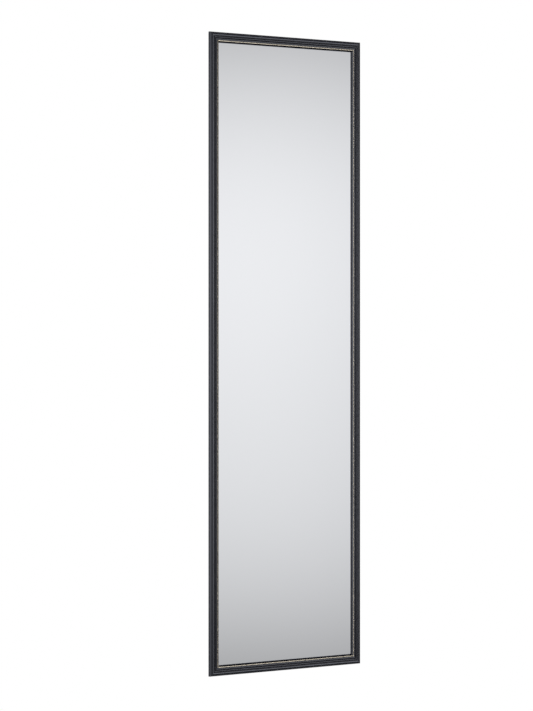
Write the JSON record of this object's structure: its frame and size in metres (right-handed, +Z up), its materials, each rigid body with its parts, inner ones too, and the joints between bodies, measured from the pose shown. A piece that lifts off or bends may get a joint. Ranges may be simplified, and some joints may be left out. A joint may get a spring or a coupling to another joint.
{
  "type": "pull-out closet mirror",
  "caption": "Tall framed mirror on a full-extension slide that screws to a closet side; it pulls out and swivels on a vertical pin to face the user.",
  "frame": {"origin": "centre of the fixed rail's two screw holes, in the plane of the closet side that the rail lies on", "axes": "+Y into the closet side, so the mirror faces -Y when parked; +Z up along the mirror's height; the mirror pulls out towards -X"},
  "size_m": [0.34, 0.0475, 1.25],
  "materials": {
    "black_lacquer": "satin black lacquer over a fine-grained wood moulding",
    "gilt": "pale champagne gilt, lightly brushed",
    "mirror_glass": "silvered float glass, 3 mm",
    "backing": "brown hardboard, smooth side out",
    "zinc_steel": "bright zinc-plated rolled steel",
    "dark_steel": "fine black powder coat",
    "ball_steel": "polished bearing steel",
    "cage_plastic": "natural acetal",
    "black_plastic": "moulded black nylon",
    "magnet": "nickel-plated magnet"
  },
  "bodies": {
    "closet_mount": {"fixed_rail": "zinc_steel", "rear_buffer": "black_plastic"},
    "outer_cage": {"outer_ball_cage": "cage_plastic", "outer_balls": "ball_steel"},
    "middle_member": {"middle_rail": "zinc_steel"},
    "inner_cage": {"inner_ball_cage": "cage_plastic", "inner_balls": "ball_steel"},
    "carriage": {"inner_rail": "zinc_steel", "swivel_bracket": "dark_steel", "bracket_rivets": "zinc_steel", "upper_bush": "cage_plastic", "lower_bush": "cage_plastic", "catch_housing": "black_plastic", "catch_magnet": "magnet"},
    "mirror": {"frame_stile_left": "black_lacquer", "frame_stile_right": "black_lacquer", "frame_rail_top": "black_lacquer", "frame_rail_bottom": "black_lacquer", "gilt_strip_top": "gilt", "gilt_strip_right": "gilt", "gilt_strip_bottom": "gilt", "gilt_strip_left": "gilt", "mirror_glass": "mirror_glass", "backing_board": "backing", "glazing_tabs": "zinc_steel", "corner_wedges": "zinc_steel", "hinge_leaf": "dark_steel", "leaf_screws": "zinc_steel", "pivot_pin": "zinc_steel", "pin_washer": "zinc_steel", "disc_spring": "zinc_steel", "retaining_clip": "zinc_steel", "strike_plate": "zinc_steel"}
  },
  "joints": [
    {"name": "pull_out", "type": "slide", "parent": "closet_mount", "child": "carriage", "axis": [-1, 0, 0], "range_m": [0, 0.3]},
    {"name": "middle_slide", "type": "slide", "parent": "closet_mount", "child": "middle_member", "axis": [-1, 0, 0], "range_m": [0, 0.15]},
    {"name": "outer_cage_slide", "type": "slide", "parent": "closet_mount", "child": "outer_cage", "axis": [-1, 0, 0], "range_m": [0, 0.075]},
    {"name": "inner_cage_slide", "type": "slide", "parent": "closet_mount", "child": "inner_cage", "axis": [-1, 0, 0], "range_m": [0, 0.225]},
    {"name": "swivel", "type": "hinge", "parent": "carriage", "child": "mirror", "pos_m": [-0.16, -0.026, 0], "axis": [0, 0, 1], "range_deg": [-90, 0]}
  ],
  "couplings": [
    {"joint": "middle_slide", "follows": "pull_out", "ratio": 0.5},
    {"joint": "outer_cage_slide", "follows": "pull_out", "ratio": 0.25},
    {"joint": "inner_cage_slide", "follows": "pull_out", "ratio": 0.75}
  ]
}
